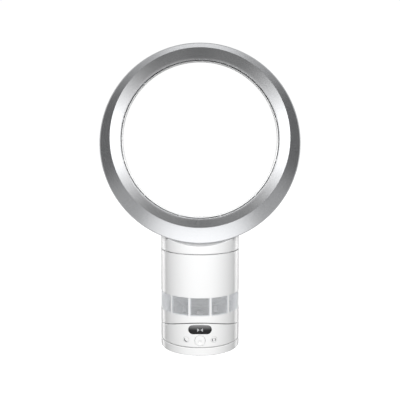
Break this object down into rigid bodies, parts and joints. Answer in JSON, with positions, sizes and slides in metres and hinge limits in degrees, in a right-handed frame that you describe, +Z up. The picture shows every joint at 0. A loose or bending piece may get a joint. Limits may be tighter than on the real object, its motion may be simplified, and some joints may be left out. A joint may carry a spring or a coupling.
{
  "type": "bladeless ring fan",
  "caption": "Desk fan that blows air through a slotted ring on a round body, with a perforated inlet, tilting body, swinging base and front controls.",
  "frame": {"origin": "on the floor, under the axis of the round body", "axes": "+Z up, -Y the front that the air leaves by and the controls face, +X to the right seen from the front"},
  "size_m": [0.3556, 0.1475, 0.5516],
  "materials": {
    "white_plastic": "polished moulded shell",
    "silver_finish": "satin silver paint on moulded plastic",
    "black_gloss": "glossy tinted window",
    "dark_plastic": "fine matt texture",
    "natural_plastic": "natural acetal and nylon",
    "steel": "zinc-plated",
    "grille_steel": "fine punched sheet",
    "laminated_steel": "stacked laminations",
    "magnet": "sintered, dark",
    "copper_wire": "enamelled copper windings",
    "rubber": "soft matt",
    "foam": "open-cell foam",
    "circuit_board": "solder-masked laminate"
  },
  "bodies": {
    "foot": {"foot_shell": "white_plastic", "foot_ring": "rubber", "glide_ring": "natural_plastic", "gear_sector": "natural_plastic", "sector_screws": "steel", "spindle_nut": "natural_plastic", "cord_grommet": "rubber"},
    "base": {"base_shell": "white_plastic", "turntable": "natural_plastic", "turntable_screws": "steel", "swivel_bush": "natural_plastic", "swing_motor": "steel", "swing_motor_screws": "steel", "tilt_rails": "dark_plastic", "rail_screws": "steel", "power_board": "circuit_board", "power_components": "dark_plastic", "control_board": "circuit_board", "tact_switches": "dark_plastic", "dial_encoder": "dark_plastic", "display_module": "dark_plastic", "display_lens": "black_gloss"},
    "pinion": {"drive_pinion": "natural_plastic", "pinion_shaft": "steel"},
    "timer_key": {"timer_button": "white_plastic"},
    "swing_key": {"swing_button": "white_plastic"},
    "dial_core": {"encoder_rotor": "steel"},
    "dial": {"speed_dial": "white_plastic"},
    "body": {"body_shell": "white_plastic", "body_pan": "dark_plastic", "pan_screws": "steel", "inlet_grille": "grille_steel", "acoustic_foam": "foam", "inlet_bellmouth": "dark_plastic", "impeller_housing": "dark_plastic", "housing_seal": "rubber", "housing_screws": "steel", "neck_seal": "rubber", "bucket_lower": "dark_plastic", "bucket_upper": "dark_plastic", "motor_sleeve": "rubber", "motor_can": "steel", "motor_end_cap": "steel", "motor_bearings": "steel", "stator_core": "laminated_steel", "stator_coils": "copper_wire", "driver_board": "circuit_board"},
    "rotor": {"impeller": "natural_plastic", "motor_shaft": "steel", "rotor_magnet": "magnet"},
    "nozzle": {"nozzle_outer_casing": "white_plastic", "nozzle_inner_casing": "silver_finish", "slot_spacers": "white_plastic"}
  },
  "joints": [
    {"name": "swing", "type": "hinge", "parent": "foot", "child": "base", "pos_m": [0, 0, 0.0164], "axis": [0, 0, 1], "range_deg": [-45, 45]},
    {"name": "pinion_turn", "type": "hinge", "parent": "base", "child": "pinion", "pos_m": [0, 0.036, 0.009], "axis": [0, 0, 1], "range_deg": [-230, 230]},
    {"name": "tilt", "type": "hinge", "parent": "base", "child": "body", "pos_m": [0, 0, 0.2204], "axis": [1, 0, 0], "range_deg": [-10, 10]},
    {"name": "impeller_spin", "type": "hinge", "parent": "body", "child": "rotor", "pos_m": [0, 0, 0.105], "axis": [0, 0, 1], "continuous": true},
    {"name": "ring_twist", "type": "hinge", "parent": "body", "child": "nozzle", "pos_m": [0, 0, 0.1735], "axis": [0, 0, 1], "range_deg": [-30, 0]},
    {"name": "timer_press", "type": "slide", "parent": "base", "child": "timer_key", "axis": [0, 1, 0], "range_m": [0, 0.0012], "stiffness_N_per_m": 600, "springref_m": -0.0008},
    {"name": "swing_press", "type": "slide", "parent": "base", "child": "swing_key", "axis": [0, 1, 0], "range_m": [0, 0.0012], "stiffness_N_per_m": 600, "springref_m": -0.0008},
    {"name": "dial_turn", "type": "hinge", "parent": "base", "child": "dial_core", "pos_m": [0, -0.06, 0.0289], "axis": [0, 1, 0], "range_deg": [-150, 150]},
    {"name": "dial_press", "type": "slide", "parent": "dial_core", "child": "dial", "axis": [0, 1, 0], "range_m": [0, 0.0008], "stiffness_N_per_m": 800, "springref_m": -0.0008}
  ],
  "couplings": [
    {"joint": "pinion_turn", "follows": "swing", "ratio": -5}
  ]
}
